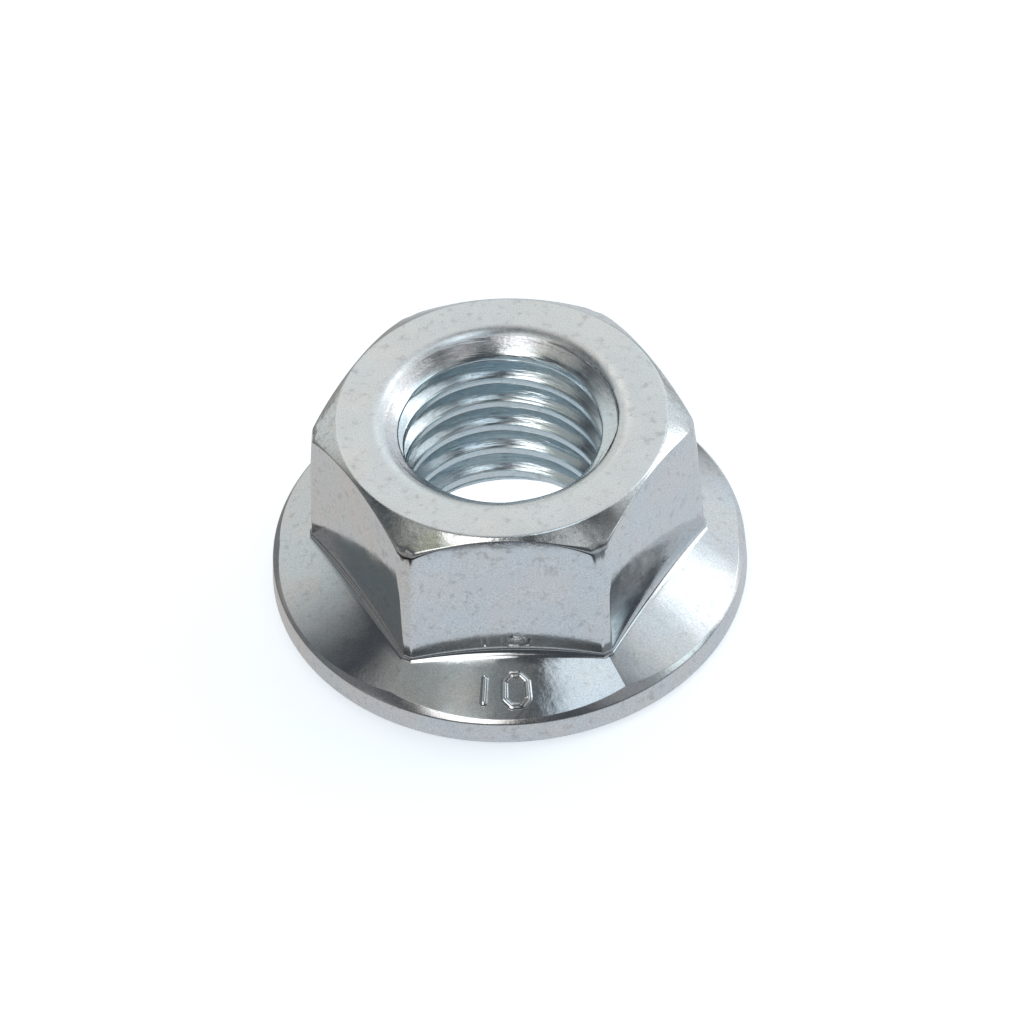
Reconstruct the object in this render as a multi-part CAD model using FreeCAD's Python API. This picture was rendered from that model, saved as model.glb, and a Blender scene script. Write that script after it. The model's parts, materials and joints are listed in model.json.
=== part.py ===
"""Serrated hexagon flange nut, one cold-forged and threaded piece.

Millimetres. The origin is the centre of the bearing face, on the bore's axis.
+Z runs up the bore, away from the flange, and the normal of the front flat is -Y.
"""
import FreeCAD, Part
import math
import os

# Thread: the bore is a plain cylinder at its minor diameter
thread_diameter = 12.0
thread_pitch = 1.75
minor_allowance = 0.1
top_countersink_margin = 0.7
top_countersink_angle_deg = 110.0
bottom_countersink_margin = 1.0
bottom_countersink_angle_deg = 82.0

# Hexagon
nut_height = 11.6
across_flats = 18.0
hex_draft_deg = 2.3
low_corner_round = 0.4
top_corner_round = 0.85
crown_diameter = 17.0
crown_angle_deg = 38.0

# Flange
flange_diameter = 25.0
flange_edge_height = 1.88
flange_slope_deg = 26.5
flange_sector_offset = 3.0
rim_draft_deg = 4.0
rim_lower_bevel = 0.5
rim_upper_bevel = 0.12
rim_upper_bevel_deg = 50.0
foot_round = 0.4

# Serrations of the bearing face
serration_count = 36
serration_depth = 0.4
serration_land = 0.45
serration_back_deg = 15.0

SIDES = 6
CORNER_STEP = 360.0 / SIDES
HALF_STEP = CORNER_STEP / 2
MINOR_FACTOR = 1.0825

Z_AXIS = FreeCAD.Vector(0, 0, 1)
ORIGIN = FreeCAD.Vector(0, 0, 0)


def slope(angle_deg):
    """Rise over run of a line at an angle in degrees."""
    return math.tan(math.radians(angle_deg))


bore_radius = (thread_diameter - MINOR_FACTOR * thread_pitch + minor_allowance) / 2
top_mouth_radius = (thread_diameter + top_countersink_margin) / 2
bottom_mouth_radius = (thread_diameter + bottom_countersink_margin) / 2
flange_radius = flange_diameter / 2
bearing_radius = flange_radius - rim_lower_bevel
edge_radius = flange_radius - (flange_edge_height - rim_lower_bevel) * slope(rim_draft_deg)
foot_height = flange_edge_height + (edge_radius - across_flats / 2) * slope(flange_slope_deg)


def point(radius, angle_deg, height):
    """Point at a radius and an angle about the bore's axis."""
    angle = math.radians(angle_deg)
    return FreeCAD.Vector(radius * math.cos(angle), radius * math.sin(angle), height)


def polygon_face(points):
    """Flat face inside a closed polygon."""
    return Part.Face(Part.makePolygon(points + points[:1]))


def revolved(outline):
    """Solid made by turning a closed outline of radius and height about the bore's axis."""
    points = [FreeCAD.Vector(radius, 0, height) for radius, height in outline]
    return polygon_face(points).revolve(ORIGIN, Z_AXIS, 360)


def flat_distance(height):
    """Distance from the axis to a flat of the drafted hexagon at a height."""
    return across_flats / 2 - (height - foot_height) * slope(hex_draft_deg)


def rounded_hexagon(height, rounding):
    """Outline of the drafted hexagon at a height, with its corners rounded."""
    centre_radius = (flat_distance(height) - rounding) / math.cos(math.radians(HALF_STEP))
    arcs = []
    for corner in range(SIDES):
        angle = corner * CORNER_STEP
        centre = point(centre_radius, angle, height)
        through = [centre + point(rounding, angle + turn, 0) for turn in (-HALF_STEP, 0, HALF_STEP)]
        arcs.append(Part.Arc(*through).toShape())
    edges = []
    for corner, arc in enumerate(arcs):
        after = arcs[(corner + 1) % SIDES]
        edges += [arc, Part.makeLine(arc.Vertexes[-1].Point, after.Vertexes[0].Point)]
    return Part.Wire(edges)


def drafted_hexagon():
    """Six drafted flats, between corners that are rounder at the top than at the foot."""
    low = rounded_hexagon(flange_edge_height / 2, low_corner_round)
    high = rounded_hexagon(nut_height, top_corner_round)
    return Part.makeLoft([low, high], True, True)


def crown_limit():
    """Flat-topped cone that takes the hexagon's upper corners off."""
    crown_radius = crown_diameter / 2
    drop = (flange_radius - crown_radius) * slope(crown_angle_deg)
    return revolved([
        (0, 0),
        (flange_radius, 0),
        (flange_radius, nut_height - drop),
        (crown_radius, nut_height),
        (0, nut_height),
    ])


def flange_blank(top):
    """Round disc with a drafted rim and a bevel above and below it."""
    bevel_height = flange_edge_height - rim_upper_bevel
    bevel_radius = flange_radius - (bevel_height - rim_lower_bevel) * slope(rim_draft_deg)
    return revolved([
        (0, 0),
        (bearing_radius, 0),
        (flange_radius, rim_lower_bevel),
        (bevel_radius, bevel_height),
        (bevel_radius - (top - bevel_height) / slope(rim_upper_bevel_deg), top),
        (0, top),
    ])


def sector_cone(side, bottom, top):
    """Cone whose side is one sixth of the flange's top, with its axis set back behind the bore's."""
    def radius_at(height):
        """Radius of the cone at a height."""
        reach = edge_radius + flange_sector_offset
        return reach + (flange_edge_height - height) / slope(flange_slope_deg)

    centre = point(-flange_sector_offset, HALF_STEP + side * CORNER_STEP, bottom)
    return Part.makeCone(radius_at(bottom), radius_at(top), top - bottom, centre, Z_AXIS)


def flange():
    """Flange of six conical sectors that meet in ridges below the hexagon's corners."""
    inside = across_flats / 2 - foot_round
    top = flange_edge_height + (edge_radius - inside) * slope(flange_slope_deg)
    disc = flange_blank(top)
    for side in range(SIDES):
        disc = disc.common(sector_cone(side, -flange_edge_height, top + flange_edge_height))
    return disc


def foot_edges(body):
    """Edges where the hexagon stands on the flange."""
    corner_radius = across_flats / 2 / math.cos(math.radians(HALF_STEP))
    found = []
    for edge in body.Edges:
        middle = edge.valueAt((edge.FirstParameter + edge.LastParameter) / 2)
        radius = math.hypot(middle.x, middle.y)
        near_hexagon = flat_distance(nut_height) < radius < corner_radius
        above_flange = flange_edge_height < middle.z < foot_height + foot_round
        lying = abs(edge.Vertexes[0].Point.z - edge.Vertexes[-1].Point.z) < foot_round
        if near_hexagon and above_flange and lying:
            found.append(edge)
    return found


def bore():
    """Tool for the bore, with a countersink at each end."""
    top_depth = (top_mouth_radius - bore_radius) / slope(top_countersink_angle_deg / 2)
    bottom_depth = (bottom_mouth_radius - bore_radius) / slope(bottom_countersink_angle_deg / 2)
    return revolved([
        (0, 0),
        (bottom_mouth_radius, 0),
        (bore_radius, bottom_depth),
        (bore_radius, nut_height - top_depth),
        (top_mouth_radius, nut_height),
        (0, nut_height),
    ])


def serration_groove():
    """Ratchet groove with its apex at the origin: a steep back, then a ramp to the next land."""
    land_deg = math.degrees(serration_land / bearing_radius)
    back_deg = math.degrees(serration_depth * slope(serration_back_deg) / bearing_radius)
    reach = 2 * flange_radius
    start = point(reach, land_deg / 2, 0)
    root = point(reach, land_deg / 2 + back_deg, serration_depth * reach / bearing_radius)
    end = point(reach, 360.0 / serration_count - land_deg / 2, 0)
    faces = [polygon_face(three) for three in (
        [ORIGIN, start, root],
        [ORIGIN, root, end],
        [ORIGIN, end, start],
        [start, end, root],
    )]
    return Part.makeSolid(Part.makeShell(faces))


def serrations():
    """All the ratchet grooves of the bearing face."""
    copies = []
    for index in range(serration_count):
        groove = serration_groove()
        groove.rotate(ORIGIN, Z_AXIS, index * 360.0 / serration_count)
        copies.append(groove)
    return Part.makeCompound(copies)


def flange_nut():
    """The finished nut."""
    hexagon = drafted_hexagon().common(crown_limit())
    body = flange().fuse(hexagon).removeSplitter()
    body = body.makeFillet(foot_round, foot_edges(body))
    return body.cut(bore()).cut(serrations())


os.makedirs("parts", exist_ok=True)
nut = flange_nut()
nut.exportStep("parts/flange_nut.step")
print("flange_nut: solids", len(nut.Solids), "volume", round(nut.Volume, 1), "valid", nut.isValid())
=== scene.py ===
"""Visual model of the serrated flange nut: one forged, tapped and zinc-plated piece in a soft studio.

Sizes are in millimetres until the meshes are made, which are in metres. The frame is the
part's own: +Z runs up the bore, the origin lies on the bearing face, and the front flat faces -Y.
"""

import json
import logging
import math
from collections.abc import Callable
from dataclasses import dataclass
from enum import Enum, IntEnum
from typing import Any, NamedTuple

import bmesh
import bpy
import numpy as np
from bpy.types import ID, Curve, Material, Mesh, Modifier, Node, NodeSocket, NodeTree, Object, World
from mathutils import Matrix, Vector


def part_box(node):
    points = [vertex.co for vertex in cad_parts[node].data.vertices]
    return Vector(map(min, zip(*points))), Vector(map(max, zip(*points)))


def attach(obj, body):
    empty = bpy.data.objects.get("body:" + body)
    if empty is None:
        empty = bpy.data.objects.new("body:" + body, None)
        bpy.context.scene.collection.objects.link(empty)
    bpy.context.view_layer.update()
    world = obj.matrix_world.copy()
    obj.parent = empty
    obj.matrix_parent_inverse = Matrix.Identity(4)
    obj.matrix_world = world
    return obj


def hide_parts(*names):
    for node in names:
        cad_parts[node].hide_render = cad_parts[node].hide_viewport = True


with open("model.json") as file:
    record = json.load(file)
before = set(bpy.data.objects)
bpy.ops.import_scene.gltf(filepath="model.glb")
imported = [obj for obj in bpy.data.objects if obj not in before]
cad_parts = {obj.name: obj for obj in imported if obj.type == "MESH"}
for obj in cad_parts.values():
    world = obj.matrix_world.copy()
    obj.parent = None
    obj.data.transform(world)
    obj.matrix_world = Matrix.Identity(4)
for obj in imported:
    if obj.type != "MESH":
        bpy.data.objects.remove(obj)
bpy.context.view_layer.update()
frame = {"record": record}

NODE = "flange_nut"
MM = 0.001
FULL_TURN = math.tau
SIDES = 6
CORNER_STEP = FULL_TURN / SIDES
SOLVER_STEPS = 40
SPACED = (0.25, 0.5, 0.75)
WHITE = (1.0, 1.0, 1.0)
BLACK = (0.0, 0.0, 0.0)

Color = tuple[float, float, float]

log = logging.getLogger("flange_nut")


class Zone(IntEnum):
    """Stretches of the nut's surface, each with a finish of its own."""

    TOP_FACE = 0
    CROWN = 1
    FLATS = 2
    FLANGE = 3
    RIM = 4
    BEARING_FACE = 5
    BORE = 6


class Socket(Enum):
    """Kinds of socket that the node groups' interfaces use."""

    GEOMETRY = "NodeSocketGeometry"
    FLOAT = "NodeSocketFloat"
    VECTOR = "NodeSocketVector"
    COLOR = "NodeSocketColor"
    MATERIAL = "NodeSocketMaterial"


def slope(angle_deg: float) -> float:
    """Rise over run of a line at an angle in degrees."""
    return math.tan(math.radians(angle_deg))


def bearing(azimuth_deg: float, elevation_deg: float = 0.0) -> Vector:
    """Unit vector at an azimuth from the front, which grows to the right, and at an elevation."""
    turn, level = math.radians(azimuth_deg), math.cos(math.radians(elevation_deg))
    return Vector((math.sin(turn) * level, -math.cos(turn) * level, math.sin(math.radians(elevation_deg))))


def smooth_max(first: np.ndarray, second: np.ndarray, blend: float) -> np.ndarray:
    """The larger of two values, with the crease between them rounded over a blend."""
    share = np.clip(0.5 + (second - first) / (2 * blend), 0, 1)
    return first + (second - first) * share + blend * share * (1 - share)


def from_flat(angle: np.ndarray) -> np.ndarray:
    """Signed angle from the normal of the nearest flat."""
    return angle % CORNER_STEP - CORNER_STEP / 2


def linked_object(name: str, data: ID) -> Object:
    """Puts new data into the scene as an object at the origin."""
    bpy.context.scene.collection.objects.link(made := bpy.data.objects.new(name, data))
    return made


def applied(obj: Object, modifier: Modifier) -> Mesh:
    """Takes an object's shape under a modifier, and removes the modifier.

    Args:
        obj: The object.
        modifier: Its only modifier.

    Returns:
        The shape as a plain mesh.
    """
    evaluated = obj.evaluated_get(bpy.context.evaluated_depsgraph_get())
    mesh = bpy.data.meshes.new_from_object(evaluated)
    obj.modifiers.remove(modifier)
    return mesh


class Value:
    """Output of a node, on which arithmetic adds Math nodes."""

    def __init__(self, graph: "NodeGraph", socket: NodeSocket) -> None:
        """Keeps the output and the graph that it belongs to."""
        self.graph, self.socket = graph, socket

    def __add__(self, other: Any) -> "Value":
        """Sum."""
        return self.graph.math("ADD", self, other)

    def __sub__(self, other: Any) -> "Value":
        """Difference."""
        return self.graph.math("SUBTRACT", self, other)

    def __rsub__(self, other: float) -> "Value":
        """Difference between a number and this."""
        return self.graph.math("SUBTRACT", other, self)

    def __mul__(self, other: Any) -> "Value":
        """Product."""
        return self.graph.math("MULTIPLY", self, other)

    def __truediv__(self, other: Any) -> "Value":
        """Quotient."""
        return self.graph.math("DIVIDE", self, other)

    def __rtruediv__(self, other: float) -> "Value":
        """Quotient of a number and this."""
        return self.graph.math("DIVIDE", other, self)


class NodeGraph:
    """Adds nodes to a shader or geometry tree and links them."""

    def __init__(self, tree: NodeTree) -> None:
        """Keeps the tree that the nodes go into."""
        self.tree = tree

    def put(self, value: Any, socket: NodeSocket) -> None:
        """Links a value to a socket, or sets the socket to a constant.

        Args:
            value: A Value, or a number, tuple, vector or name.
            socket: The input.
        """
        if isinstance(value, Value):
            self.tree.links.new(value.socket, socket)
        else:
            socket.default_value = value

    def node(self, kind: str, inputs: dict[Any, Any] | None = None, **settings: Any) -> Node:
        """Adds a node.

        Args:
            kind: Blender's type name of the node.
            inputs: What to put into each input, by its name or index.
            **settings: Properties of the node itself.

        Returns:
            The new node.
        """
        made = self.tree.nodes.new(kind)
        for name, value in settings.items():
            setattr(made, name, value)
        for name, value in (inputs or {}).items():
            self.put(value, made.inputs[name])
        return made

    def value(self, kind: str, inputs: dict[Any, Any] | None = None, **settings: Any) -> Value:
        """Adds a node and returns its first output."""
        return Value(self, self.node(kind, inputs, **settings).outputs[0])

    def values(self, kind: str, inputs: dict[Any, Any] | None = None, **settings: Any) -> dict[str, Value]:
        """Adds a node and returns its outputs by name."""
        return {made.name: Value(self, made) for made in self.node(kind, inputs, **settings).outputs}

    def math(self, operation: str, *values: Any, clamp: bool = False) -> Value:
        """Result of a Math node."""
        return self.value("ShaderNodeMath", dict(enumerate(values)), operation=operation, use_clamp=clamp)

    def vector_math(self, operation: str, *values: Any, output: str = "Vector") -> Value:
        """Result of a Vector Math node."""
        return self.values("ShaderNodeVectorMath", dict(enumerate(values)), operation=operation)[output]

    def ramp(self, value: Value, low: float, high: float, start: float = 0.0, end: float = 1.0,
             smooth: bool = False) -> Value:
        """Maps a value to another range and clamps it.

        Args:
            value: The value.
            low: Value at which the result starts.
            high: Value at which the result ends.
            start: The result's start.
            end: The result's end.
            smooth: Whether the result eases in and out.

        Returns:
            The result.
        """
        inputs = {"Value": value, "From Min": low, "From Max": high, "To Min": start, "To Max": end}
        kind = "SMOOTHSTEP" if smooth else "LINEAR"
        return self.value("ShaderNodeMapRange", inputs, interpolation_type=kind)

    def mix_color(self, factor: Any, first: Any, second: Any, blend: str = "MIX") -> Value:
        """Blends two colours.

        Args:
            factor: Share of the second colour.
            first: The first colour, as a Value or three numbers.
            second: The second colour.
            blend: Blender's name of the blend.

        Returns:
            The blended colour.
        """
        made = self.node("ShaderNodeMix", data_type="RGBA", blend_type=blend, clamp_factor=True)
        sockets = {socket.identifier: socket for socket in (*made.inputs, *made.outputs)}
        self.put(factor, sockets["Factor_Float"])
        for name, color in (("A_Color", first), ("B_Color", second)):
            self.put(color if isinstance(color, Value) else (*color, 1.0), sockets[name])
        return Value(self, sockets["Result_Color"])

    def noise(self, place: Value, size: Any, detail: float = 3.0) -> Value:
        """Soft noise around 0.5, whose features are about a size in metres."""
        return self.value("ShaderNodeTexNoise", {"Vector": place, "Scale": 1 / size, "Detail": detail})

    def split(self, vector: Value) -> tuple[Value, ...]:
        """X, Y and Z of a vector."""
        return tuple(self.values("ShaderNodeSeparateXYZ", {0: vector}).values())

    def join(self, *parts: Any) -> Value:
        """Vector of X, Y and Z."""
        return self.value("ShaderNodeCombineXYZ", dict(enumerate(parts)))


def empty_graph(owner: Material | World) -> NodeGraph:
    """Gives a material or a world an empty tree.

    Args:
        owner: The material or world.

    Returns:
        The graph of its tree.
    """
    owner.use_nodes = True
    owner.node_tree.nodes.clear()
    return NodeGraph(owner.node_tree)


class Group(NodeGraph):
    """Node group with named inputs and outputs."""

    def __init__(self, name: str, kind: str, inputs: dict[str, Socket], outputs: dict[str, Socket]) -> None:
        """Makes the group with its sockets.

        Args:
            name: Name of the group.
            kind: "ShaderNodeTree" or "GeometryNodeTree".
            inputs: Kind of each input.
            outputs: Kind of each output.
        """
        super().__init__(bpy.data.node_groups.new(name, kind))
        for side, sockets in (("INPUT", inputs), ("OUTPUT", outputs)):
            for label, socket in sockets.items():
                self.tree.interface.new_socket(label, in_out=side, socket_type=socket.value)
        self.given = self.values("NodeGroupInput")
        self.result = self.node("NodeGroupOutput")

    def give(self, **values: Value) -> None:
        """Links values to the group's outputs."""
        for name, value in values.items():
            self.put(value, self.result.inputs[name])


class ShapeGroup(Group):
    """Geometry group with numbers as named inputs, which reshapes a geometry and dresses it."""

    def __init__(self, name: str, numbers: dict[str, float]) -> None:
        """Makes the group.

        Args:
            name: Name of the group.
            numbers: Value of each named input.
        """
        self.numbers = numbers
        floats = dict.fromkeys(numbers, Socket.FLOAT)
        inputs = {"Geometry": Socket.GEOMETRY, **floats, "Finish": Socket.MATERIAL}
        super().__init__(name, "GeometryNodeTree", inputs, {"Geometry": Socket.GEOMETRY})

    def place(self) -> tuple[Value, ...]:
        """X, Y and Z of each point."""
        return self.split(self.value("GeometryNodeInputPosition"))

    def attribute(self, name: str) -> Value:
        """A named attribute of each point."""
        return self.value("GeometryNodeInputNamedAttribute", {"Name": name}, data_type="FLOAT")

    def close(self, geometry: Value, place: Value, chosen: Any = True, zone: Zone | None = None) -> None:
        """Ends the group: moves points, makes instances real and sets the finish.

        Args:
            geometry: The geometry.
            place: Where its points go.
            chosen: Which points go there.
            zone: Zone whose faces are dressed, or None for all faces.
        """
        moved = self.value("GeometryNodeSetPosition",
                           {"Geometry": geometry, "Selection": chosen, "Position": place})
        real = self.value("GeometryNodeRealizeInstances", {0: moved})
        dressed: Any = True
        if zone is not None:
            index = self.value("GeometryNodeInputMaterialIndex")
            dressed = self.value("FunctionNodeCompare", {2: index, 3: int(zone)}, operation="EQUAL",
                                 data_type="INT")
        self.give(Geometry=self.value("GeometryNodeSetMaterial", {
            "Geometry": real, "Selection": dressed, "Material": self.given["Finish"]}))

    def run(self, obj: Object, finish: Material) -> Mesh:
        """Runs the group on an object.

        Args:
            obj: Object whose data the group reads.
            finish: Material that it sets.

        Returns:
            The result as a plain mesh.
        """
        values = {**self.numbers, "Finish": finish}
        modifier = obj.modifiers.new(self.tree.name, "NODES")
        modifier.node_group = self.tree
        for item in self.tree.interface.items_tree:
            if item.in_out == "INPUT" and item.name in values:
                modifier[item.identifier] = values[item.name]
        return applied(obj, modifier)


@dataclass(frozen=True)
class ThreadSizes:
    """Internal thread and the countersinks at its two ends, in millimetres."""

    minor_radius: float
    height: float
    major_diameter: float = 12.0
    pitch: float = 1.75
    crest_land: float = 0.44
    flank_deg: float = 30.0
    crest_round: float = 0.05
    root_round: float = 0.10
    start: float = 1.52
    top_mouth: float = 6.35
    top_half_deg: float = 55.0
    mouth_round: float = 1.3
    mouth_blend: float = 0.4
    bottom_mouth: float = 6.5
    bottom_half_deg: float = 41.0
    breaks: tuple[float, ...] = (0.0, 0.17, 0.23, 0.29, 0.41, 0.53, 0.66, 0.74, 0.875)

    @property
    def top_wall_end(self) -> float:
        """Height at which the top countersink ends on the plain bore."""
        return self.height - (self.top_mouth - self.minor_radius) / slope(self.top_half_deg)

    def blank_radius(self, height: np.ndarray) -> np.ndarray:
        """Radius of the untapped bore and its countersinks at some heights."""
        wall = np.maximum(self.minor_radius, self.bottom_mouth - height * slope(self.bottom_half_deg))
        return smooth_max(wall, self.top_mouth - (self.height - height) * slope(self.top_half_deg),
                          self.mouth_blend)

    def turn_breaks(self) -> np.ndarray:
        """Heights within one turn, as shares of the pitch, at which the thread's section bends."""
        rising = np.array(self.breaks)
        return np.concatenate([rising, self.pitch - rising[-2:0:-1]]) / self.pitch


@dataclass(frozen=True)
class SerrationSizes:
    """Ratchet serrations of the bearing face, in millimetres."""

    bearing_radius: float
    count: int = 36
    depth: float = 0.4
    land: float = 0.45
    back_deg: float = 15.0
    ramp_steps: int = 8

    @property
    def land_angle(self) -> float:
        """Angle that one land takes."""
        return self.land / self.bearing_radius

    @property
    def back_angle(self) -> float:
        """Angle that one steep back takes."""
        return self.depth * slope(self.back_deg) / self.bearing_radius

    def angles(self) -> np.ndarray:
        """Lists where the serrations bend, with steps along each ramp.

        Returns:
            Angles over the full turn.
        """
        step, half_land = FULL_TURN / self.count, self.land_angle / 2
        ramp = np.linspace(half_land + self.back_angle, step - half_land, self.ramp_steps + 1)
        one = np.concatenate([[0.0, half_land], ramp])
        return (np.arange(self.count)[:, None] * step + one).ravel()


@dataclass(frozen=True)
class FlangeSizes:
    """The flange's six conical sectors and its rim, in millimetres."""

    radius: float
    across_flats: float = 18.0
    edge_height: float = 1.88
    slope_deg: float = 26.5
    sector_offset: float = 3.0
    rim_draft_deg: float = 4.0
    lower_bevel: float = 0.5
    upper_bevel: float = 0.12
    upper_bevel_deg: float = 50.0

    @property
    def bearing_radius(self) -> float:
        """Outer radius of the bearing face."""
        return self.radius - self.lower_bevel

    @property
    def edge_radius(self) -> float:
        """Radius of the sharp edge between the rim and the middle of a sector."""
        return self.radius - (self.edge_height - self.lower_bevel) * slope(self.rim_draft_deg)

    @property
    def foot_height(self) -> float:
        """Height at which the middle of a flat meets the flange."""
        return self.edge_height + (self.edge_radius - self.across_flats / 2) * slope(self.slope_deg)

    def height_at(self, angle: np.ndarray, radius: np.ndarray) -> np.ndarray:
        """Height of the flange's top at polar places about the axis."""
        from_sector_axis = np.sqrt(radius**2 + self.sector_offset**2
                                   + 2 * radius * self.sector_offset * np.cos(from_flat(angle)))
        return self.edge_height + (self.edge_radius + self.sector_offset
                                   - from_sector_axis) * slope(self.slope_deg)

    def bevel_foot(self) -> tuple[float, float]:
        """Radius and height at which the rim meets its upper bevel."""
        height = self.edge_height - self.upper_bevel
        return self.radius - (height - self.lower_bevel) * slope(self.rim_draft_deg), height

    def bevel_top(self, angle: np.ndarray) -> tuple[np.ndarray, np.ndarray]:
        """Finds where the upper bevel meets the sectors.

        Args:
            angle: Angles about the axis.

        Returns:
            Radius and height at each angle.
        """
        foot_radius, foot_height = self.bevel_foot()
        radius = np.full_like(angle, foot_radius)
        for _ in range(SOLVER_STEPS):
            rise = self.height_at(angle, radius) - foot_height
            radius = (radius + foot_radius - rise / slope(self.upper_bevel_deg)) / 2
        return radius, self.height_at(angle, radius)


@dataclass(frozen=True)
class HexagonSizes:
    """The nut's six drafted flats, blunted corners and crown, in millimetres."""

    height: float
    flange: FlangeSizes
    draft_deg: float = 2.3
    corner_width: float = 0.5
    corner_flare: float = 0.8
    flare_power: float = 6.0
    corner_blend: float = 0.03
    corner_steps: int = 28
    crown_diameter: float = 17.0
    crown_angle_deg: float = 38.0
    crown_round: float = 0.12
    crown_round_growth: float = 1.0
    growth_power: float = 6.0
    foot_round: float = 0.7

    def radius(self, angle: np.ndarray, height: np.ndarray) -> np.ndarray:
        """Distance from the axis to the hexagon, whose blunted corners widen near the top.

        Args:
            angle: Angles about the axis.
            height: Height at each angle.

        Returns:
            The radius at each angle and height.
        """
        flat = self.flange.across_flats / 2 - (height - self.flange.foot_height) * slope(self.draft_deg)
        flare = self.corner_flare * np.clip(height / self.height, 0, 1) ** self.flare_power
        half = CORNER_STEP / 2
        blunt = flat / math.cos(half) - (self.corner_width + flare) / 2 * math.tan(half)
        on_flat = flat / np.cos(from_flat(angle))
        on_corner = blunt / np.cos(half - np.abs(from_flat(angle)))
        return -smooth_max(-on_corner, -on_flat, self.corner_blend)

    def corner_angles(self) -> np.ndarray:
        """Spaces angles evenly across the widest stretch of each blunted corner.

        Returns:
            Angles about the axis.
        """
        reach = (self.corner_width + self.corner_flare) / self.flange.across_flats
        off = np.linspace(-reach, reach, self.corner_steps + 1)
        return (np.arange(SIDES)[:, None] * CORNER_STEP + off).ravel()

    def meeting(self, angle: np.ndarray,
                height_at: Callable[[np.ndarray], np.ndarray]) -> tuple[np.ndarray, np.ndarray]:
        """Finds where the hexagon meets another surface.

        Args:
            angle: Angles about the axis.
            height_at: The other surface's height at a radius for each angle.

        Returns:
            Radius and height at each angle.
        """
        height = np.full_like(angle, self.height)
        for _ in range(SOLVER_STEPS):
            radius = self.radius(angle, height)
            height = height_at(radius)
        return radius, height

    def crown_height(self, radius: np.ndarray) -> np.ndarray:
        """Height of the crown's cone at some radii."""
        return self.height - (radius - self.crown_diameter / 2) * slope(self.crown_angle_deg)


@dataclass
class Bend:
    """One bend of the nut's section: radius and height of each column, and the zone that follows.

    Its rounding is a radius, and its wear_and_sheen tells, at its start, middle and end, how much rubbed
    polish that rounding has and how much painted highlight lightens its colour.
    """

    place: np.ndarray
    zone: Zone
    rounding: float | np.ndarray = 0.0
    wear_and_sheen: tuple[float, float, float] = (0.0, 1.0, 0.0)


class Ring(NamedTuple):
    """Vertices of one ring: radius and height of each column, the zone that follows, and the rubbed polish
    with its painted highlight.
    """

    place: np.ndarray
    zone: Zone
    wear_and_sheen: float = 0.0


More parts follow.
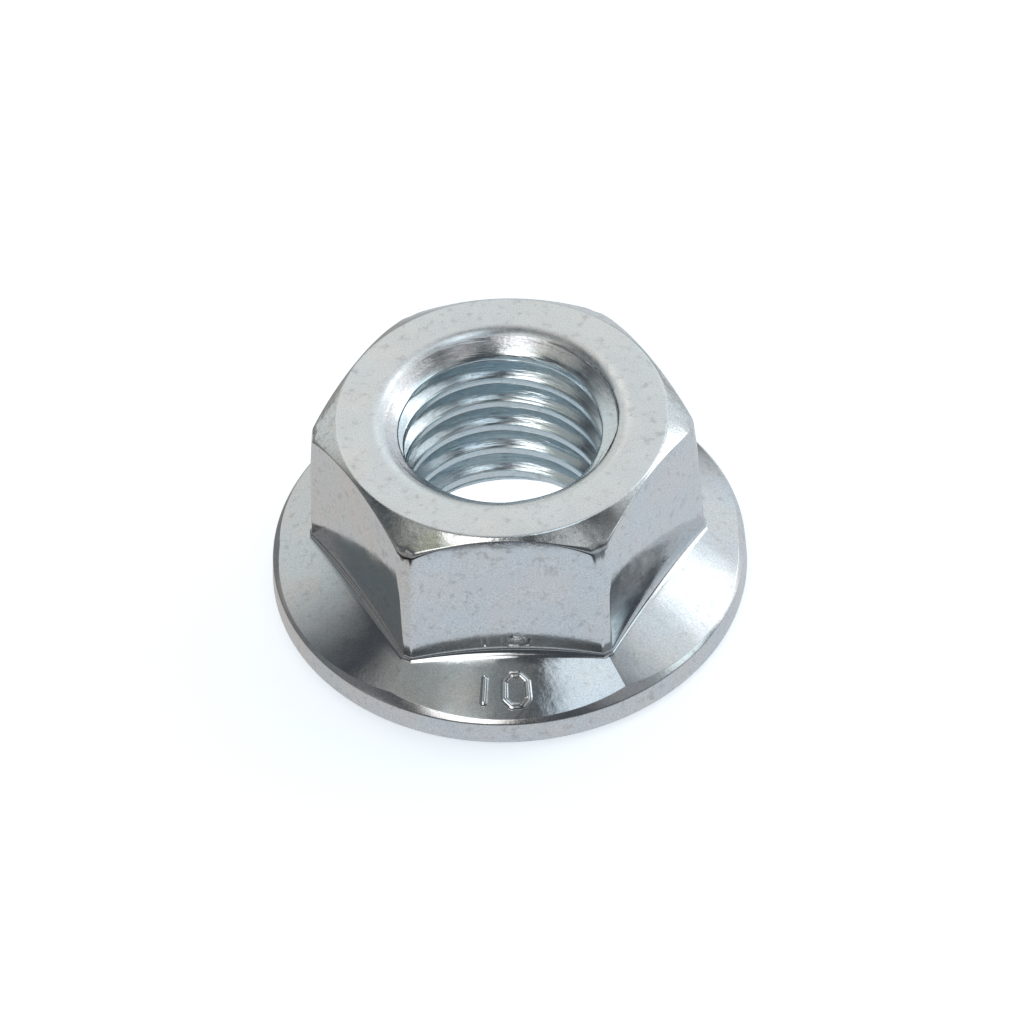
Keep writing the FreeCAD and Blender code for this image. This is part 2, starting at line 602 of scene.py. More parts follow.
@dataclass
class NutBody:
    """The nut in one closed mesh: blank, then serrations, then thread."""

    hexagon: HexagonSizes
    flange: FlangeSizes
    thread: ThreadSizes
    serrations: SerrationSizes
    round_steps: int = 5
    edge_round: float = 0.1
    rim_round: float = 0.2
    crown_edge_round: float = 0.3
    round_reach: float = 0.45
    spare_turns: int = 2
    close_columns_deg: float = 0.12
    weld: float = 0.002
    crisp_deg: float = 25.0

    def column_angles(self) -> np.ndarray:
        """Gathers the columns: each bend of the serrations, and steps round each corner.

        Returns:
            Angles about the axis, in order.
        """
        angles = self.serrations.angles() % FULL_TURN
        extra = self.hexagon.corner_angles() % FULL_TURN
        gap = np.abs((extra[:, None] - angles + math.pi) % FULL_TURN - math.pi).min(axis=1)
        return np.sort(np.concatenate([angles, extra[gap > math.radians(self.close_columns_deg)]]))

    def bends(self, angle: np.ndarray) -> list[Bend]:
        """Lists the section's bends from the top countersink's mouth, outside, to the bottom one's.

        Args:
            angle: Angles of the columns.

        Returns:
            The bends in order.
        """
        flange, thread, hexagon = self.flange, self.thread, self.hexagon

        def at(radius: float | np.ndarray, height: float | np.ndarray) -> np.ndarray:
            """Radius and height of every column, side by side."""
            return np.stack(np.broadcast_arrays(radius, height, angle)[:2], axis=-1)

        top = hexagon.height
        crown_radius, crown_height = hexagon.meeting(angle, hexagon.crown_height)
        foot_radius, foot_height = hexagon.meeting(angle, lambda radius: flange.height_at(angle, radius))
        edge_radius, edge_height = flange.bevel_top(angle)
        near_corner = np.abs(from_flat(angle)) / (CORNER_STEP / 2)
        crown_round = hexagon.crown_round + hexagon.crown_round_growth * near_corner**hexagon.growth_power
        made = [
            # The mouth's and crown's rounded edges get rubbed polish, which also lightens their colour as a
            # painted highlight.
            Bend(at(thread.top_mouth, top), Zone.TOP_FACE, thread.mouth_round, (1.0, 0.7, 0.0)),
            Bend(at(hexagon.crown_diameter / 2, top), Zone.CROWN, self.crown_edge_round, (0.0, 0.4, 0.0)),
            Bend(at(crown_radius, crown_height), Zone.FLATS, crown_round),
        ]
        for share in SPACED:
            height = crown_height + (foot_height - crown_height) * share
            made.append(Bend(at(hexagon.radius(angle, height), height), Zone.FLATS))
        made.append(Bend(at(foot_radius, foot_height), Zone.FLANGE, hexagon.foot_round, (0.0, 0.0, 0.0)))
        for share in SPACED:
            radius = foot_radius + (edge_radius - foot_radius) * share
            made.append(Bend(at(radius, flange.height_at(angle, radius)), Zone.FLANGE))
        made += [
            Bend(at(edge_radius, edge_height), Zone.RIM, self.edge_round),
            Bend(at(*flange.bevel_foot()), Zone.RIM, self.rim_round),
            Bend(at(flange.radius, flange.lower_bevel), Zone.RIM, self.rim_round),
        ]
        for share in (0.0, *SPACED):
            radius = flange.bearing_radius + (thread.bottom_mouth - flange.bearing_radius) * share
            made.append(Bend(at(radius, 0.0), Zone.BEARING_FACE))
        return made + [Bend(at(thread.bottom_mouth, 0.0), Zone.BORE)]

    def rounded(self, before: np.ndarray, bend: Bend, after: np.ndarray) -> list[np.ndarray]:
        """Rounds one bend.

        Args:
            before: Radius and height of the bend before, in each column.
            bend: The bend to round.
            after: Radius and height of the bend after, in each column.

        Returns:
            The rings, from the tangent point before the bend to the one after it.
        """
        corner = bend.place
        back, ahead = before - corner, after - corner
        back_length = np.linalg.norm(back, axis=-1, keepdims=True)
        ahead_length = np.linalg.norm(ahead, axis=-1, keepdims=True)
        back, ahead = back / back_length, ahead / ahead_length
        half = np.arccos(np.clip((back * ahead).sum(-1, keepdims=True), -1, 1)) / 2
        rounding = np.broadcast_to(bend.rounding, len(corner))[:, None]
        reach = np.minimum(rounding / np.tan(half), self.round_reach * np.minimum(back_length, ahead_length))
        shares = np.linspace(0, 1, self.round_steps + 1)
        return [corner + reach * ((1 - share) ** 2 * back + share**2 * ahead) for share in shares]

    def outside(self, angle: np.ndarray) -> list[Ring]:
        """Makes the outside, with each bend rounded.

        Args:
            angle: Angles of the columns.

        Returns:
            Its rings, from mouth to mouth.
        """
        bends = self.bends(angle)
        wall = np.array([self.thread.minor_radius, self.thread.top_wall_end])
        line = [Bend(np.broadcast_to(wall, (len(angle), 2)), Zone.TOP_FACE), *bends]
        rings = []
        for index, bend in enumerate(bends):
            if not np.any(bend.rounding):
                rings.append(Ring(bend.place, bend.zone))
                continue
            for step, place in enumerate(self.rounded(line[index].place, bend, line[index + 2].place)):
                share = step / self.round_steps
                zone = line[index].zone if share < 0.5 else bend.zone
                rings.append(Ring(place, zone, float(np.interp(share, (0.0, 0.5, 1.0), bend.wear_and_sheen))))
        return rings

    def inside(self, angle: np.ndarray, top_limit: float) -> list[Ring]:
        """Makes the bore's rings, which climb one pitch in a turn.

        Args:
            angle: Angles of the columns.
            top_limit: Height at which the outside's first ring lies.

        Returns:
            The rings from the bottom mouth to the top one; past either they lie on it, to be welded.
        """
        thread = self.thread
        turns = np.arange(-self.spare_turns, math.ceil(thread.height / thread.pitch) + self.spare_turns)
        rings = []
        for share in (turns[:, None] + thread.turn_breaks()).ravel():
            height = np.clip(thread.start + thread.pitch * (share + angle / FULL_TURN), 0, top_limit)
            rings.append(Ring(np.stack([thread.blank_radius(height), height], axis=-1), Zone.BORE))
        return rings

    def blank(self) -> Mesh:
        """Makes the nut before it is serrated and tapped.

        Returns:
            Its mesh, with the attributes that the geometry groups and the finishes read.
        """
        angle = self.column_angles()
        rings = self.outside(angle)
        columns, outer, per_turn = len(angle), len(rings), len(self.thread.turn_breaks())
        rings += self.inside(angle, float(rings[0].place[0, 1]))
        direction = np.stack([np.cos(angle), np.sin(angle)], axis=-1)
        corners = np.concatenate([np.concatenate([direction * ring.place[:, :1], ring.place[:, 1:]], axis=-1)
                                  for ring in rings])
        here = np.arange(columns)
        ahead = (here + 1) % columns

        def strip(row: int, climb: int) -> np.ndarray:
            """Faces between a ring and the next, with the last column joined to the first some rings up."""
            low, joined = row * columns + here, row * columns + ahead + climb * columns * (ahead == 0)
            return np.stack([low, low + columns, joined + columns, joined], axis=-1)

        outer_rows, inner_rows = range(outer - 1), range(outer, len(rings) - 1 - per_turn)
        faces = [strip(row, 0) for row in outer_rows] + [strip(row, per_turn) for row in inner_rows]
        zones = [rings[row].zone for row in (*outer_rows, *inner_rows)]
        mesh = bpy.data.meshes.new("nut_blank")
        mesh.from_pydata((corners * MM).tolist(), [], np.concatenate(faces).tolist())
        mesh.polygons.foreach_set("material_index", np.repeat(zones, columns).astype(np.int32))
        for name, values in (("wear_and_sheen", np.repeat([ring.wear_and_sheen for ring in rings], columns)),
                             ("bore", np.repeat(np.arange(len(rings)) >= outer, columns).astype(float)),
                             ("side_slope", self.side_slopes(corners))):
            mesh.attributes.new(name, "FLOAT", "POINT").data.foreach_set("value", values)
        return mesh

    def side_slopes(self, corners: np.ndarray) -> np.ndarray:
        """Measures how the radius grows with height on the walls beside the bearing face.

        Args:
            corners: The mesh's points.

        Returns:
            The slope at each point, and 0 elsewhere.
        """
        radius, height = np.hypot(corners[:, 0], corners[:, 1]), corners[:, 2]
        near = height < self.flange.lower_bevel
        slopes = np.zeros(len(corners))
        slopes[near & (radius > self.flange.bearing_radius - self.weld)] = 1.0
        in_bore = near & (radius < self.thread.bottom_mouth + self.weld)
        slopes[in_bore] = -slope(self.thread.bottom_half_deg)
        return slopes

    def serration_group(self) -> ShapeGroup:
        """Builds the group that presses ratchet serrations into the flat bearing face.

        Returns:
            The group.
        """
        sizes = self.serrations
        graph = ShapeGroup("press_serrations", {
            "Count": float(sizes.count),
            "Depth": sizes.depth * MM,
            "Bearing Radius": sizes.bearing_radius * MM,
            "Land Angle": sizes.land_angle,
            "Back Angle": sizes.back_angle,
        })
        geometry, count, depth, bearing_radius, land, back, *_ = graph.given.values()
        x, y, z = graph.place()
        radius = graph.math("SQRT", x * x + y * y)
        step = FULL_TURN / count
        phase = graph.math("MODULO", graph.math("ARCTAN2", y, x) + (land * 0.5 + FULL_TURN), step)
        share = graph.math("MINIMUM", (phase - land) / back, (step - phase) / (step - land - back))
        rise = graph.math("MAXIMUM", share, 0.0) * (depth / bearing_radius)
        side = graph.attribute("side_slope")
        new_radius = (radius - side * z) / (1.0 - side * rise)
        new_height = new_radius * rise
        pressed = graph.value("FunctionNodeCompare", {"A": z, "B": new_height}, operation="LESS_THAN",
                              data_type="FLOAT")
        scale = new_radius / radius
        graph.close(geometry, graph.join(x * scale, y * scale, new_height), pressed, Zone.BEARING_FACE)
        return graph

    def thread_group(self) -> ShapeGroup:
        """Builds the group that taps a right-hand thread into the plain bore.

        Returns:
            The group.
        """
        sizes = self.thread
        graph = ShapeGroup("tap_thread", {
            "Minor Radius": sizes.minor_radius * MM,
            "Depth": (sizes.major_diameter / 2 - sizes.minor_radius) * MM,
            "Pitch": sizes.pitch * MM,
            "Start": sizes.start * MM,
            "Crest Land": sizes.crest_land * MM,
            "Flank Slope": 1 / slope(sizes.flank_deg),
            "Crest Round": sizes.crest_round * MM,
            "Root Round": sizes.root_round * MM,
        })
        geometry, minor_radius, depth, pitch, start, land, flank_slope, crest_round, root_round, *_ = (
            graph.given.values())
        x, y, z = graph.place()
        radius = graph.math("SQRT", x * x + y * y)
        turns = graph.math("ARCTAN2", y, x) / FULL_TURN
        off_crest = graph.math("PINGPONG", (z - start) / pitch - turns, 0.5) * pitch
        flank = (off_crest - land * 0.5) * flank_slope
        crest = graph.math("SMOOTH_MAX", flank, 0.0, crest_round)
        groove = graph.math("SMOOTH_MIN", crest, depth, root_round)
        scale = graph.math("MAXIMUM", radius, minor_radius + groove) / radius
        in_bore = graph.math("GREATER_THAN", graph.attribute("bore"), 0.5)
        graph.close(geometry, graph.join(x * scale, y * scale, z), in_bore, Zone.BORE)
        return graph

    def build(self, finishes: dict[Zone, Material]) -> Object:
        """Builds the nut's mesh.

        Args:
            finishes: Material of each zone.

        Returns:
            The nut's object, with one welded and closed mesh.
        """
        nut = linked_object("nut_body", self.blank())
        for zone in Zone:
            nut.data.materials.append(finishes[zone])
        nut.data = self.serration_group().run(nut, finishes[Zone.BEARING_FACE])
        nut.data = self.thread_group().run(nut, finishes[Zone.BORE])
        self.weld_mesh(nut.data)
        by_area = nut.modifiers.new("weighted_normals", "WEIGHTED_NORMAL")
        by_area.keep_sharp = True
        nut.data = applied(nut, by_area)
        return nut

    def weld_mesh(self, mesh: Mesh) -> None:
        """Welds the rings that meet, and keeps the serrations' edges crisp.

        Args:
            mesh: The nut's mesh.
        """
        shape = bmesh.new()
        shape.from_mesh(mesh)
        bmesh.ops.remove_doubles(shape, verts=shape.verts, dist=self.weld * MM)
        bmesh.ops.recalc_face_normals(shape, faces=shape.faces)
        for face in shape.faces:
            face.smooth = True
        for edge in shape.edges:
            zones = {face.material_index for face in edge.link_faces}
            crisp = Zone.BEARING_FACE in zones and edge.calc_face_angle(0) > math.radians(self.crisp_deg)
            edge.smooth = not crisp
        shape.to_mesh(mesh)
        shape.free()


@dataclass(frozen=True)
class ZincFinish:
    """One finish of the bright zinc plating, with linear colours and sizes in millimetres.

    Mottle is the drift of the roughness, tint the strength of the cool and warm tints, and speck
    the share of dull specks. Dents are the forging's and streaks the tap's. The values for the
    mouth hold in the top countersink.
    """

    name: str
    color: Color
    roughness: float
    mottle: float = 0.06
    tint: float = 0.3
    speck: float = 0.2
    dent_height: float = 0.003
    dent_size: float = 0.22
    streak_depth: float = 0.0
    streak_shade: float = 0.0
    anisotropy: float = 0.0
    mouth_color: Color = (0.78, 0.77, 0.78)
    mouth_dents: float = 6.0
    mouth_roughness: float = 0.06

    def material(self, effects: dict[str, NodeTree]) -> Material:
        """Builds the material from the shared effects.

        Args:
            effects: The shared shader groups by name.

        Returns:
            The finished material.
        """
        made = bpy.data.materials.new(self.name)
        graph = empty_graph(made)
        place = graph.values("ShaderNodeTexCoord")["Object"]

        def effect(name: str, **inputs: Any) -> dict[str, Value]:
            """Outputs of a shared effect."""
            return graph.values("ShaderNodeGroup", {"Place": place, **inputs}, node_tree=effects[name])

        height = effect("dents", Height=self.dent_height * MM, Size=self.dent_size * MM)["Height"]
        streaks = effect("streaks") if self.streak_depth > 0 else None
        color = (*self.color, 1.0)
        if streaks:
            color = graph.mix_color(streaks["Mouth"], self.color, self.mouth_color)
        plating = effect("plating", Color=color, Tint=self.tint, Speck=self.speck,
                         Roughness=self.roughness, Mottle=self.mottle)
        surface = {"Base Color": plating["Color"], "Metallic": 1.0, "Roughness": plating["Roughness"]}
        if streaks:
            streak, mouth = streaks["Streak"], streaks["Mouth"]
            height = height * (mouth * self.mouth_dents + 1.0) + streak * (self.streak_depth * MM)
            surface["Roughness"] += streak * self.streak_shade + mouth * self.mouth_roughness
            surface["Anisotropic"] = self.anisotropy
            surface["Tangent"] = graph.value("ShaderNodeTangent", direction_type="RADIAL", axis="Z")
        bump = {"Strength": 1.0, "Distance": 1.0, "Height": height}
        surface["Normal"] = graph.value("ShaderNodeBump", bump)
        shader = graph.value("ShaderNodeBsdfPrincipled", surface)
        graph.node("ShaderNodeOutputMaterial", {"Surface": shader})
        return made


@dataclass(frozen=True)
class PlatingEffects:
    """Shader groups that all the finishes share, with sizes in millimetres.

    Each feature's size is the size of its noise, and its range is where in the noise it sets in.
    """

    pitch: float
    mouth_height: float
    mouth_fade: float = 0.4
    streak_grain: float = 0.15
    streak_length: float = 3.0
    drift_size: float = 2.6
    drift_range: tuple[float, float] = (0.38, 0.62)
    cool: Color = (0.93, 0.99, 1.03)
    warm: Color = (1.03, 0.99, 0.95)
    spot_size: float = 0.45
    spot_range: tuple[float, float] = (0.56, 0.72)
    spot_detail: float = 6.0
    spot_color: Color = (0.24, 0.21, 0.2)
    spot_roughness: float = 0.25
    frost_size: float = 0.08
    frost_depth: float = 2.0
    polish_and_sheen_size: float = 0.5
    # Lighter colour of the rubbed edges: partly rubbed zinc, partly a painted highlight.
    worn_sheen_color: Color = (0.9, 0.92, 0.93)
    worn_sheen_share: float = 0.5
    worn_roughness: float = 0.2
    worn_gain: float = 2.0
    mottle_size: float = 1.1
    mottle_gain: float = 4.0
    wave_size: float = 2.5
    wave_gain: float = 6.0
    patch_size: float = 3.2
    patch_range: tuple[float, float] = (0.42, 0.62)
    patch_gains: tuple[float, float] = (0.25, 1.6)

    def groups(self) -> dict[str, NodeTree]:
        """Builds the groups and returns them by name."""
        return {"plating": self.plating(), "dents": self.dents(), "streaks": self.streaks()}

    def plating(self) -> NodeTree:
        """Builds the group for colour and roughness: drifting tints, dull specks, and rubbed edges whose
        polish also lightens the colour as a painted highlight.

        Returns:
            The group's tree.
        """
        graph = Group("zinc_plating", "ShaderNodeTree", {
            "Place": Socket.VECTOR, "Color": Socket.COLOR, "Tint": Socket.FLOAT, "Speck": Socket.FLOAT,
            "Roughness": Socket.FLOAT, "Mottle": Socket.FLOAT,
        }, {"Color": Socket.COLOR, "Roughness": Socket.FLOAT})
        place, base, tint, speck, roughness, mottle, *_ = graph.given.values()
        drift = graph.ramp(graph.noise(place, self.drift_size * MM), *self.drift_range)
        tinted = graph.mix_color(tint, WHITE, graph.mix_color(drift, self.cool, self.warm))
        color = graph.mix_color(1.0, base, tinted, "MULTIPLY")
        spots = graph.noise(place, self.spot_size * MM, self.spot_detail)
        dull = graph.ramp(spots, *self.spot_range) * speck
        color = graph.mix_color(dull, color, self.spot_color)
        frost = (graph.noise(place, self.frost_size * MM, 1.0) - 0.5) * speck * self.frost_depth + 1.0
        color = graph.vector_math("MULTIPLY", color, frost)
        # Rubbed polish on rounded edges: it lowers the roughness and lightens the colour, and the lightening
        # is a painted highlight.
        wear_and_sheen = graph.values("ShaderNodeAttribute", attribute_name="wear_and_sheen")["Fac"]
        polish_and_sheen = wear_and_sheen * graph.noise(place, self.polish_and_sheen_size * MM)
        color = graph.mix_color(polish_and_sheen * self.worn_sheen_share, color, self.worn_sheen_color)
        off_middle = graph.noise(place, self.mottle_size * MM) - 0.5
        rough = off_middle * (mottle * self.mottle_gain) + roughness + dull * self.spot_roughness
        worn = graph.math("MULTIPLY", polish_and_sheen, self.worn_gain, clamp=True)
        graph.give(Color=color, Roughness=rough + worn * (self.worn_roughness - rough))
        return graph.tree

    def dents(self) -> NodeTree:
        """Builds the group for the height of fine dents and long waves, in metres.

        Returns:
            The group's tree.
        """
        graph = Group("surface_dents", "ShaderNodeTree", {
            "Place": Socket.VECTOR, "Height": Socket.FLOAT, "Size": Socket.FLOAT,
        }, {"Height": Socket.FLOAT})
        place, height, size, *_ = graph.given.values()
        patches = graph.noise(place, self.patch_size * MM, 2.0)
        fine = graph.noise(place, size, 2.0) * graph.ramp(patches, *self.patch_range, *self.patch_gains)
        wave = graph.noise(place, self.wave_size * MM, 1.0)
        graph.give(Height=fine * height + wave * (height * self.wave_gain))
        return graph.tree

    def streaks(self) -> NodeTree:
        """Builds the group for streaks along the thread, which run nearly round the countersinks.

        Returns:
            The group's tree, whose second output tells the top countersink.
        """
        graph = Group("tap_streaks", "ShaderNodeTree", {"Place": Socket.VECTOR},
                      {"Streak": Socket.FLOAT, "Mouth": Socket.FLOAT})
        x, y, z = graph.split(graph.given["Place"])
        turns = graph.math("ARCTAN2", y, x) / FULL_TURN
        phase = (z / (self.pitch * MM) - turns) * FULL_TURN
        reach = self.pitch / (self.streak_grain * FULL_TURN)
        length = self.streak_length * MM
        cosine, sine = graph.math("COSINE", phase), graph.math("SINE", phase)
        across = graph.join(cosine * reach, sine * reach, x / length)
        streak = graph.value("ShaderNodeTexNoise", {"Vector": across, "W": (y + z) / length, "Scale": 1.0,
                                                    "Detail": 3.0}, noise_dimensions="4D")
        start, end = self.mouth_height * MM, (self.mouth_height + self.mouth_fade) * MM
        graph.give(Streak=streak, Mouth=graph.ramp(z, start, end))
        return graph.tree


FINISHES = {
    Zone.TOP_FACE: ZincFinish("zinc_top_face", (0.80, 0.82, 0.83), 0.4, tint=0.25, speck=0.25,
                              dent_height=0.002),
    Zone.CROWN: ZincFinish("zinc_crown", (0.78, 0.79, 0.78), 0.15, tint=0.5, speck=0.4, dent_height=0.008,
                           dent_size=0.35),
    Zone.FLATS: ZincFinish("zinc_flats", (0.76, 0.78, 0.80), 0.08, mottle=0.04, tint=0.5, speck=0.3,
                           dent_height=0.0014, dent_size=0.3),
    Zone.FLANGE: ZincFinish("zinc_flange", (0.77, 0.78, 0.79), 0.1, mottle=0.05, tint=0.6, speck=0.25,
                            dent_height=0.0025, dent_size=0.3),
    Zone.RIM: ZincFinish("zinc_rim", (0.79, 0.79, 0.80), 0.2, tint=0.5, speck=0.25, dent_height=0.003),
    Zone.BEARING_FACE: ZincFinish("zinc_bearing_face", (0.74, 0.75, 0.76), 0.2),
    # Painted light: the bore's zinc is lighter and bluer than the rest, to lift the shade inside the bore
    # and tint its grooves teal.
    Zone.BORE: ZincFinish("zinc_bore", (0.82, 0.89, 0.92), 0.1, tint=0.5, speck=0.2, dent_height=0.001,
                          streak_depth=0.035, streak_shade=0.12, anisotropy=0.4),
}


@dataclass
class RaisedFigures:
    """The figures 1 and 0, raised on the front sector of the flange, in millimetres."""

    flange: FlangeSizes
    middle_radius: float = 10.88
    height: float = 1.66
    zero_width: float = 1.2
    zero_middle: float = 0.43
    one_middle: float = -1.2
    stroke: float = 0.42
    relief: float = 0.13
    corner_share: float = 0.3
    taper: tuple[tuple[float, float], ...] = ((0.0, 0.4), (0.08, 0.85), (0.2, 1.0))
    path_step: float = 0.05
    section_sides: int = 16

    def curve(self) -> Curve:
        """Draws the strokes in the flat, with their thickness as the radius of each point.

        Returns:
            A curve with one spline for each stroke.
        """
        half, wide = self.height / 2, self.zero_width / 2
        cut = self.zero_width * self.corner_share
        upper = [(wide, half - cut), (wide - cut, half), (cut - wide, half), (-wide, half - cut)]
        zero = [(self.zero_middle + side * x, side * y, 1.0) for side in (1, -1) for x, y in upper]
        low = [(self.one_middle, inset - half, thickness) for inset, thickness in self.taper]
        high = [(x, -y, thickness) for x, y, thickness in reversed(low)]
        made = bpy.data.curves.new("figure_paths", "CURVE")
        made.dimensions = "3D"
        for points, closed in ((zero, True), (low + high, False)):
            spline = made.splines.new("POLY")
            spline.points.add(len(points) - 1)
            for point, (x, y, thickness) in zip(spline.points, points):
                point.co = (x * MM, y * MM, 0, 1)
                point.radius = thickness
            spline.use_cyclic_u = closed
        return made

    def group(self) -> ShapeGroup:
        """Builds the group that sweeps strokes along flat paths and lays them on the flange's sector.

        Returns:
            The group.
        """
        flange = self.flange
        middle = flange.height_at(np.array([-math.pi / 2]), np.array([self.middle_radius]))
        graph = ShapeGroup("raise_strokes", {
            "Stroke": self.stroke * MM,
            "Relief": self.relief * MM,
            "Middle Radius": self.middle_radius * MM,
            "Middle Height": float(middle[0]) * MM,
            "Sector Offset": flange.sector_offset * MM,
            "Slope": math.radians(flange.slope_deg),
        })
        paths, stroke, relief, middle_radius, middle_height, offset, tilt, *_ = graph.given.values()
        fine = graph.value("GeometryNodeResampleCurve", {"Curve": paths, "Length": self.path_step * MM},
                           mode="LENGTH")
        half = stroke * 0.5
        section = graph.value("GeometryNodeCurvePrimitiveCircle",
                              {"Resolution": self.section_sides, "Radius": half})
        swept = graph.value("GeometryNodeCurveToMesh", {
            "Curve": fine,
            "Profile Curve": section,
            "Scale": graph.value("GeometryNodeInputRadius"),
            "Fill Caps": True,
        })
        x, y, z = graph.place()
        lift = z * relief / half
        reach = middle_radius + offset
        angle = x / reach
        tilt_sine, tilt_cosine = graph.math("SINE", tilt), graph.math("COSINE", tilt)
        from_axis = reach + (lift * tilt_sine - y * tilt_cosine)
        laid = graph.join(from_axis * graph.math("SINE", angle),
                          offset - from_axis * graph.math("COSINE", angle),
                          middle_height + (y * tilt_sine + lift * tilt_cosine))
        graph.close(swept, laid)
        return graph

    def build(self, finish: Material) -> Object:
        """Builds the figures.

        Args:
            finish: Their material.

        Returns:
            The figures' object, as closed strokes half sunk in the flange.
        """
        paths = linked_object("figure_paths", self.curve())
        mesh = self.group().run(paths, finish)
        bpy.data.objects.remove(paths)
        mesh.shade_smooth()
        return linked_object("raised_figures", mesh)


@dataclass(frozen=True)
class SoftLight:
    """One soft light of the studio, as a patch of the world.

    The azimuth grows from the front to the right, the spread is the half width at which the light
    has fallen to half, and the softness is the width over which it fades.
    """

    azimuth_deg: float
    elevation_deg: float
    spread_deg: float
    soft_deg: float
    strength: float
    tint: Color = WHITE

    def glow(self, graph: NodeGraph, looking: Value) -> Value:
        """Adds the light's nodes.

        Args:
            graph: Graph of the world.
            looking: Direction in which the world is seen.

        Returns:
            The light's colour in that direction.
        """
        place = bearing(self.azimuth_deg, self.elevation_deg)
        facing = graph.vector_math("DOT_PRODUCT", looking, place, output="Value")
        near = math.cos(math.radians(max(self.spread_deg - self.soft_deg / 2, 0)))
        far = math.cos(math.radians(self.spread_deg + self.soft_deg / 2))
        strength = graph.ramp(facing, far, near, end=self.strength, smooth=True)
        scaled = {"Vector": self.tint, "Scale": strength}
        return graph.value("ShaderNodeVectorMath", scaled, operation="SCALE")


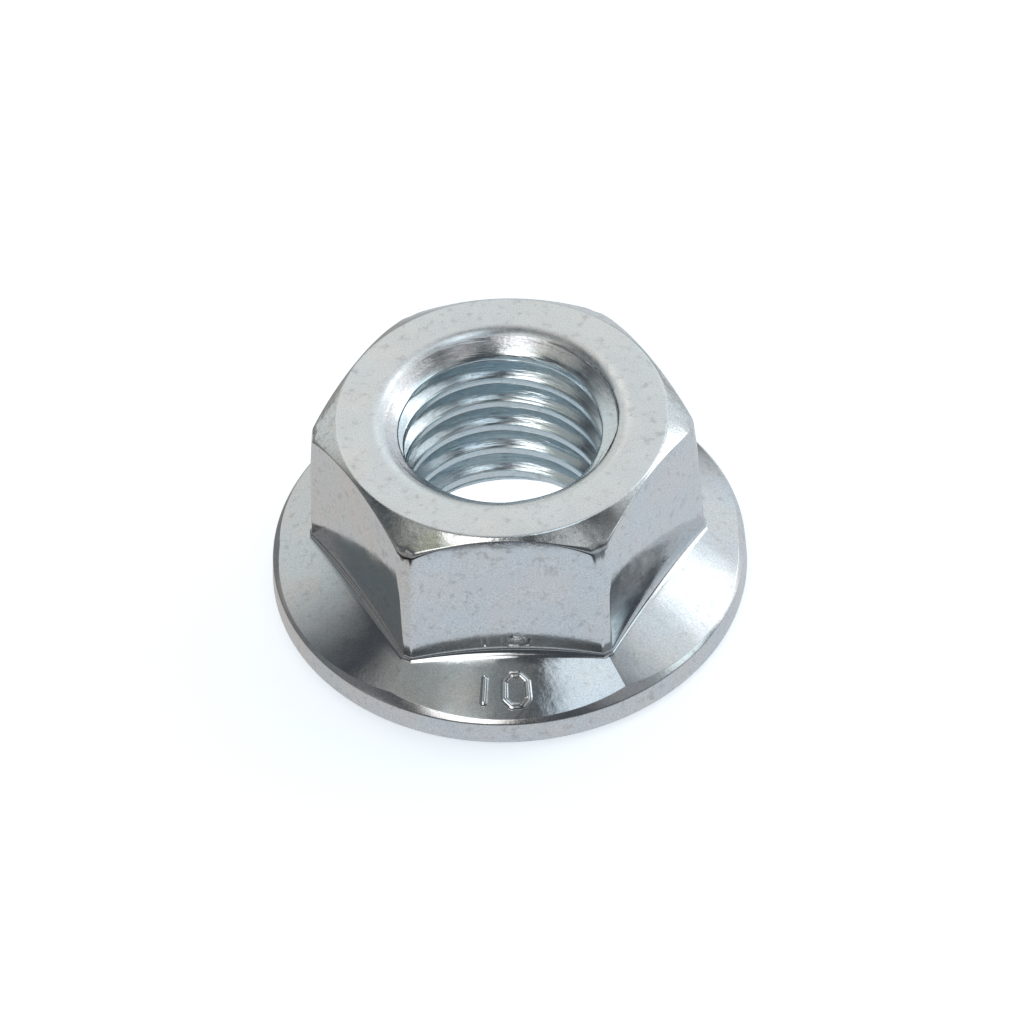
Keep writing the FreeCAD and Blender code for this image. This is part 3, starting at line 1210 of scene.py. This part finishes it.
@dataclass
class Studio:
    """Pale floor, soft world and the camera, in millimetres."""

    lights: tuple[SoftLight, ...]
    base_light: Color = (0.06, 0.068, 0.078)
    floor_half_size: float = 500.0
    near_radius: float = 26.2
    far_radius: float = 27.4
    near_shift: float = 4.0
    grazing_fade: tuple[float, float] = (0.64, 0.5)
    far_side_deg: float = 130.0
    far_side_fade: tuple[float, float] = (-0.4, 0.9)
    outer_start: float = 30.0
    outer_end: float = 40.0
    outer_share: float = 0.7
    least_share: float = 0.06
    floor_color: float = 0.85
    diffuse_share: float = 0.35
    glossy_floor: float = 0.48
    bore_floor: float = 0.3
    bore_radius: float = 6.5
    bore_fade: float = 1.3
    floor_tint: Color = (0.93, 1.0, 1.07)
    # Painted warm reflection: tint of the floor's glow on the left, seen in reflections only.
    painted_warm_reflection: Color = (0.84, 0.8, 0.77)
    warm_start: float = -5.0
    warm_end: float = -15.0
    camera_floor: float = 0.6
    focal_length: float = 179.227
    clip: tuple[float, float] = (10.0, 10000.0)
    camera_place: tuple[float, float, float] = (7.749, -182.108, 197.797)
    camera_turn_deg: tuple[float, float, float] = (43.2549, 2.1302, 0.0917)

    def build(self) -> None:
        """Builds the whole studio and its camera."""
        self.build_world()
        self.build_floor()
        self.build_camera()

    def build_world(self) -> None:
        """World that is white to the camera and holds the soft lights for all else."""
        world = bpy.data.worlds.new("studio_world")
        bpy.context.scene.world = world
        graph = empty_graph(world)
        looking = graph.values("ShaderNodeTexCoord")["Generated"]
        total: Any = self.base_light
        for light in self.lights:
            total = graph.vector_math("ADD", total, light.glow(graph, looking))
        lit = graph.value("ShaderNodeBackground", {"Color": total, "Strength": 1.0})
        white = graph.value("ShaderNodeBackground", {"Color": (*WHITE, 1.0), "Strength": 1.0})
        seen = graph.values("ShaderNodeLightPath")["Is Camera Ray"]
        mixed = graph.value("ShaderNodeMixShader", {0: seen, 1: lit, 2: white})
        graph.node("ShaderNodeOutputWorld", {"Surface": mixed})

    def floor_material(self) -> Material:
        """Makes the floor's material, which is seen from above only.

        To the camera it is white apart from the nut's shadow, except under the bore, where a painted light
        makes it fully white over that shadow. In reflections it glows near the nut (less at grazing angles),
        on the far side and far out, and under the bore, and is dim elsewhere: painted reflections of light
        and dark, with a painted warm tint on the left.

        Returns:
            The material.
        """
        material = bpy.data.materials.new("pale_floor")
        graph = empty_graph(material)
        place = graph.values("ShaderNodeTexCoord")["Object"]
        reach = graph.vector_math("LENGTH", place, output="Value")
        from_back = graph.vector_math("DISTANCE", place, (0.0, self.near_shift * MM, 0.0), output="Value")
        near = graph.ramp(from_back, self.far_radius * MM, self.near_radius * MM, smooth=True)
        outward = graph.vector_math("NORMALIZE", place)
        facing = graph.vector_math("DOT_PRODUCT", outward, bearing(self.far_side_deg), output="Value")
        far_side = graph.ramp(facing, *self.far_side_fade, smooth=True)
        outer = graph.ramp(reach, self.outer_start * MM, self.outer_end * MM, self.least_share,
                           self.outer_share, smooth=True)
        grazing = graph.values("ShaderNodeLayerWeight", {"Blend": 0.5})["Facing"]
        steep = graph.ramp(grazing, *self.grazing_fade)
        under = graph.ramp(reach, (self.bore_radius + self.bore_fade) * MM, self.bore_radius * MM)
        path = graph.values("ShaderNodeLightPath")
        camera, glossy = path["Is Camera Ray"], path["Is Glossy Ray"]

        # The pale colour counts fully for the camera, but for other rays only near the nut and on the far
        # side; elsewhere the floor is painted dark in reflections.
        shown = graph.math("MAXIMUM", graph.math("MAXIMUM", near, far_side) * self.diffuse_share, camera)
        color = graph.mix_color(shown, BLACK, [self.floor_color] * 3)
        pale = graph.value("ShaderNodeBsdfDiffuse", {"Color": color})
        # Painted reflections: how brightly the floor glows in the metal, near the nut, on the far side, far
        # out and under the bore.
        seen = graph.math("MAXIMUM", near * steep, graph.math("MAXIMUM", far_side, outer))
        mirrored = graph.math("MAXIMUM", seen * self.glossy_floor, under * self.bore_floor)
        # Painted light: under the bore the floor glows fully white to the camera, over the nut's shadow.
        direct = under * (1.0 - self.camera_floor) + self.camera_floor
        # Painted warm reflection: the glow is warmer on the left, in reflections only.
        left = graph.ramp(graph.split(place)[0], self.warm_start * MM, self.warm_end * MM)
        tint = graph.mix_color(left * glossy, self.floor_tint, self.painted_warm_reflection)
        strength = camera * direct + mirrored * glossy
        glow = graph.value("ShaderNodeEmission", {"Color": tint, "Strength": strength})
        both = graph.value("ShaderNodeAddShader", {0: pale, 1: glow})
        behind = graph.values("ShaderNodeNewGeometry")["Backfacing"]
        clear = graph.value("ShaderNodeBsdfTransparent")
        sided = graph.value("ShaderNodeMixShader", {0: behind, 1: both, 2: clear})
        graph.node("ShaderNodeOutputMaterial", {"Surface": sided})
        return material

    def build_floor(self) -> None:
        """Square floor that the nut stands on."""
        half = self.floor_half_size * MM
        mesh = bpy.data.meshes.new("floor")
        corners = [(-half, -half, 0), (half, -half, 0), (half, half, 0), (-half, half, 0)]
        mesh.from_pydata(corners, [], [(0, 1, 2, 3)])
        floor = linked_object("floor", mesh)
        mesh.materials.append(self.floor_material())

    def build_camera(self) -> None:
        """Camera at the photograph's place, turned and rolled as it was."""
        data = bpy.data.cameras.new("camera")
        data.lens = self.focal_length
        data.clip_start, data.clip_end = (end * MM for end in self.clip)
        camera = linked_object("camera", data)
        camera.location = Vector(self.camera_place) * MM
        camera.rotation_euler = [math.radians(turn) for turn in self.camera_turn_deg]
        bpy.context.scene.camera = camera


LIGHTS = (
    SoftLight(131, 47, 6, 9, 0.8, (1.03, 1.0, 1.02)),
    SoftLight(120, 41, 8, 7, 0.6, (0.98, 1.0, 1.02)),
    SoftLight(129, 33, 34, 22, 0.74, (0.95, 1.01, 1.04)),
    SoftLight(112, 17, 15, 10, 1.1),
    SoftLight(58, 30, 16, 16, 0.22),
    SoftLight(60, 71, 9, 7, 0.85, (0.9, 1.02, 1.1)),
    SoftLight(110, 78, 8, 8, 0.9, (0.92, 1.02, 1.06)),
    SoftLight(81, 19, 8, 14, 1.1, (0.86, 1.03, 1.07)),
    SoftLight(42, 50, 7, 11, 0.5),
    SoftLight(-4, 46, 6, 6, 0.5),
    SoftLight(-35, 80, 8, 8, 0.15, (0.96, 1.02, 0.98)),
    SoftLight(-26, 60.5, 12, 3, 1.45),
    SoftLight(-20, 34, 15, 4, 1.7, (1.02, 1.0, 0.96)),
    SoftLight(-44, 48, 7, 6, 0.12, (1.1, 1.06, 0.4)),
    SoftLight(-62, 44, 10, 11, 0.14, (1.02, 1.01, 0.9)),
    SoftLight(-68, 64, 16, 11, 0.25, (1.0, 1.02, 0.94)),
    SoftLight(-56, 10, 7, 11, 0.25),
    SoftLight(-88, 5, 30, 11, 0.1, (0.97, 1.02, 0.98)),
    SoftLight(-155, 20, 36, 30, 0.6, (0.98, 1.01, 0.98)),
    SoftLight(-156, 56, 16, 22, 0.42, (1.06, 0.99, 0.92)),
)


def main() -> None:
    """Builds the nut, its figures and the studio."""
    logging.basicConfig(level=logging.INFO, format="%(name)s: %(message)s")
    low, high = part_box(NODE)
    mounts = {mount["name"]: mount for mount in frame["record"]["mounts"]}
    height = (high[2] - low[2]) / MM
    flange = FlangeSizes((high[0] - low[0]) / 2 / MM)
    hexagon = HexagonSizes(height, flange)
    thread = ThreadSizes(mounts["thread"]["dims"]["r_mm"], height)
    serrations = SerrationSizes(flange.bearing_radius)

    effects = PlatingEffects(thread.pitch, thread.top_wall_end).groups()
    materials = {zone: finish.material(effects) for zone, finish in FINISHES.items()}
    nut = NutBody(hexagon, flange, thread, serrations).build(materials)
    figures = RaisedFigures(flange).build(materials[Zone.FLANGE])
    for piece in (nut, figures):
        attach(piece, "root")
        log.info("%s has %d faces", piece.name, len(piece.data.polygons))
    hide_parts(NODE)

    Studio(LIGHTS).build()
    bpy.context.scene.view_settings.view_transform = "Standard"


if __name__ == "__main__":
    main()
